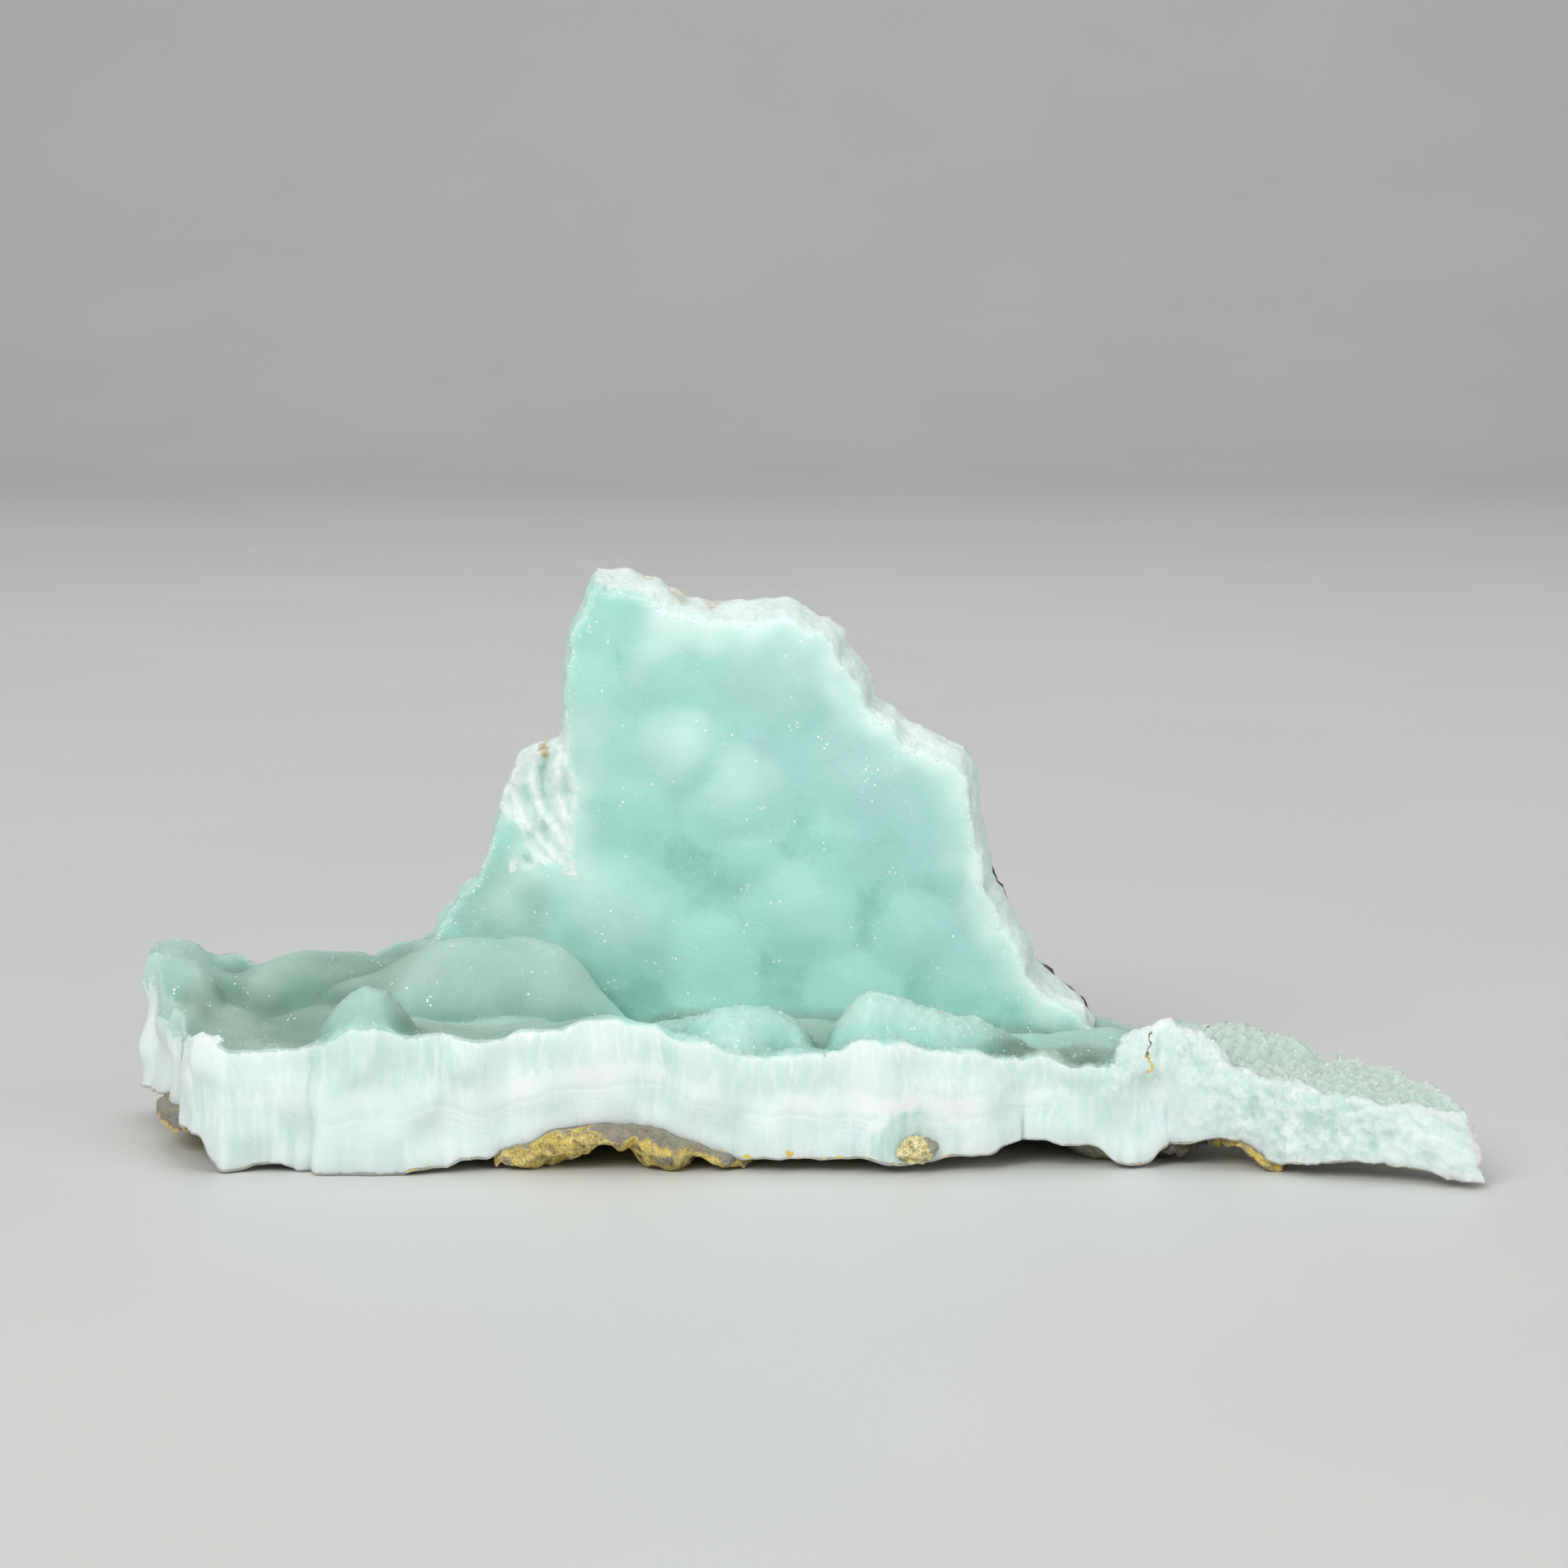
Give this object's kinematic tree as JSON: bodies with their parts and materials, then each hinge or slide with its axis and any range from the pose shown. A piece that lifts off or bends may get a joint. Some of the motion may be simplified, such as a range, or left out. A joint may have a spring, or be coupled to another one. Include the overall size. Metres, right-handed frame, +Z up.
{
  "type": "blue aragonite specimen",
  "caption": "Broken corner of a cavity lining: pale blue-green botryoidal aragonite as a fibrous floor slab and a standing wall, with scraps of limonite rind.",
  "frame": {"origin": "middle of the bounding box, on the surface that the specimen rests on", "axes": "+X along the length towards the thin tail, +Y from the broken front to the back of the standing wall, +Z up"},
  "size_m": [0.1128, 0.0432, 0.0476],
  "materials": {
    "aragonite": "fine drusy crystal skin, translucent, with fibrous broken edges",
    "ochre_limonite": "earthy, matte",
    "dark_rind": "dull, rough"
  },
  "bodies": {
    "root": {"aragonite_crust": "aragonite", "front_rind": "ochre_limonite", "left_rind": "ochre_limonite", "tail_rind": "ochre_limonite", "limonite_nodule": "ochre_limonite", "dark_rind": "dark_rind", "back_rind": "dark_rind"}
  },
  "joints": []
}
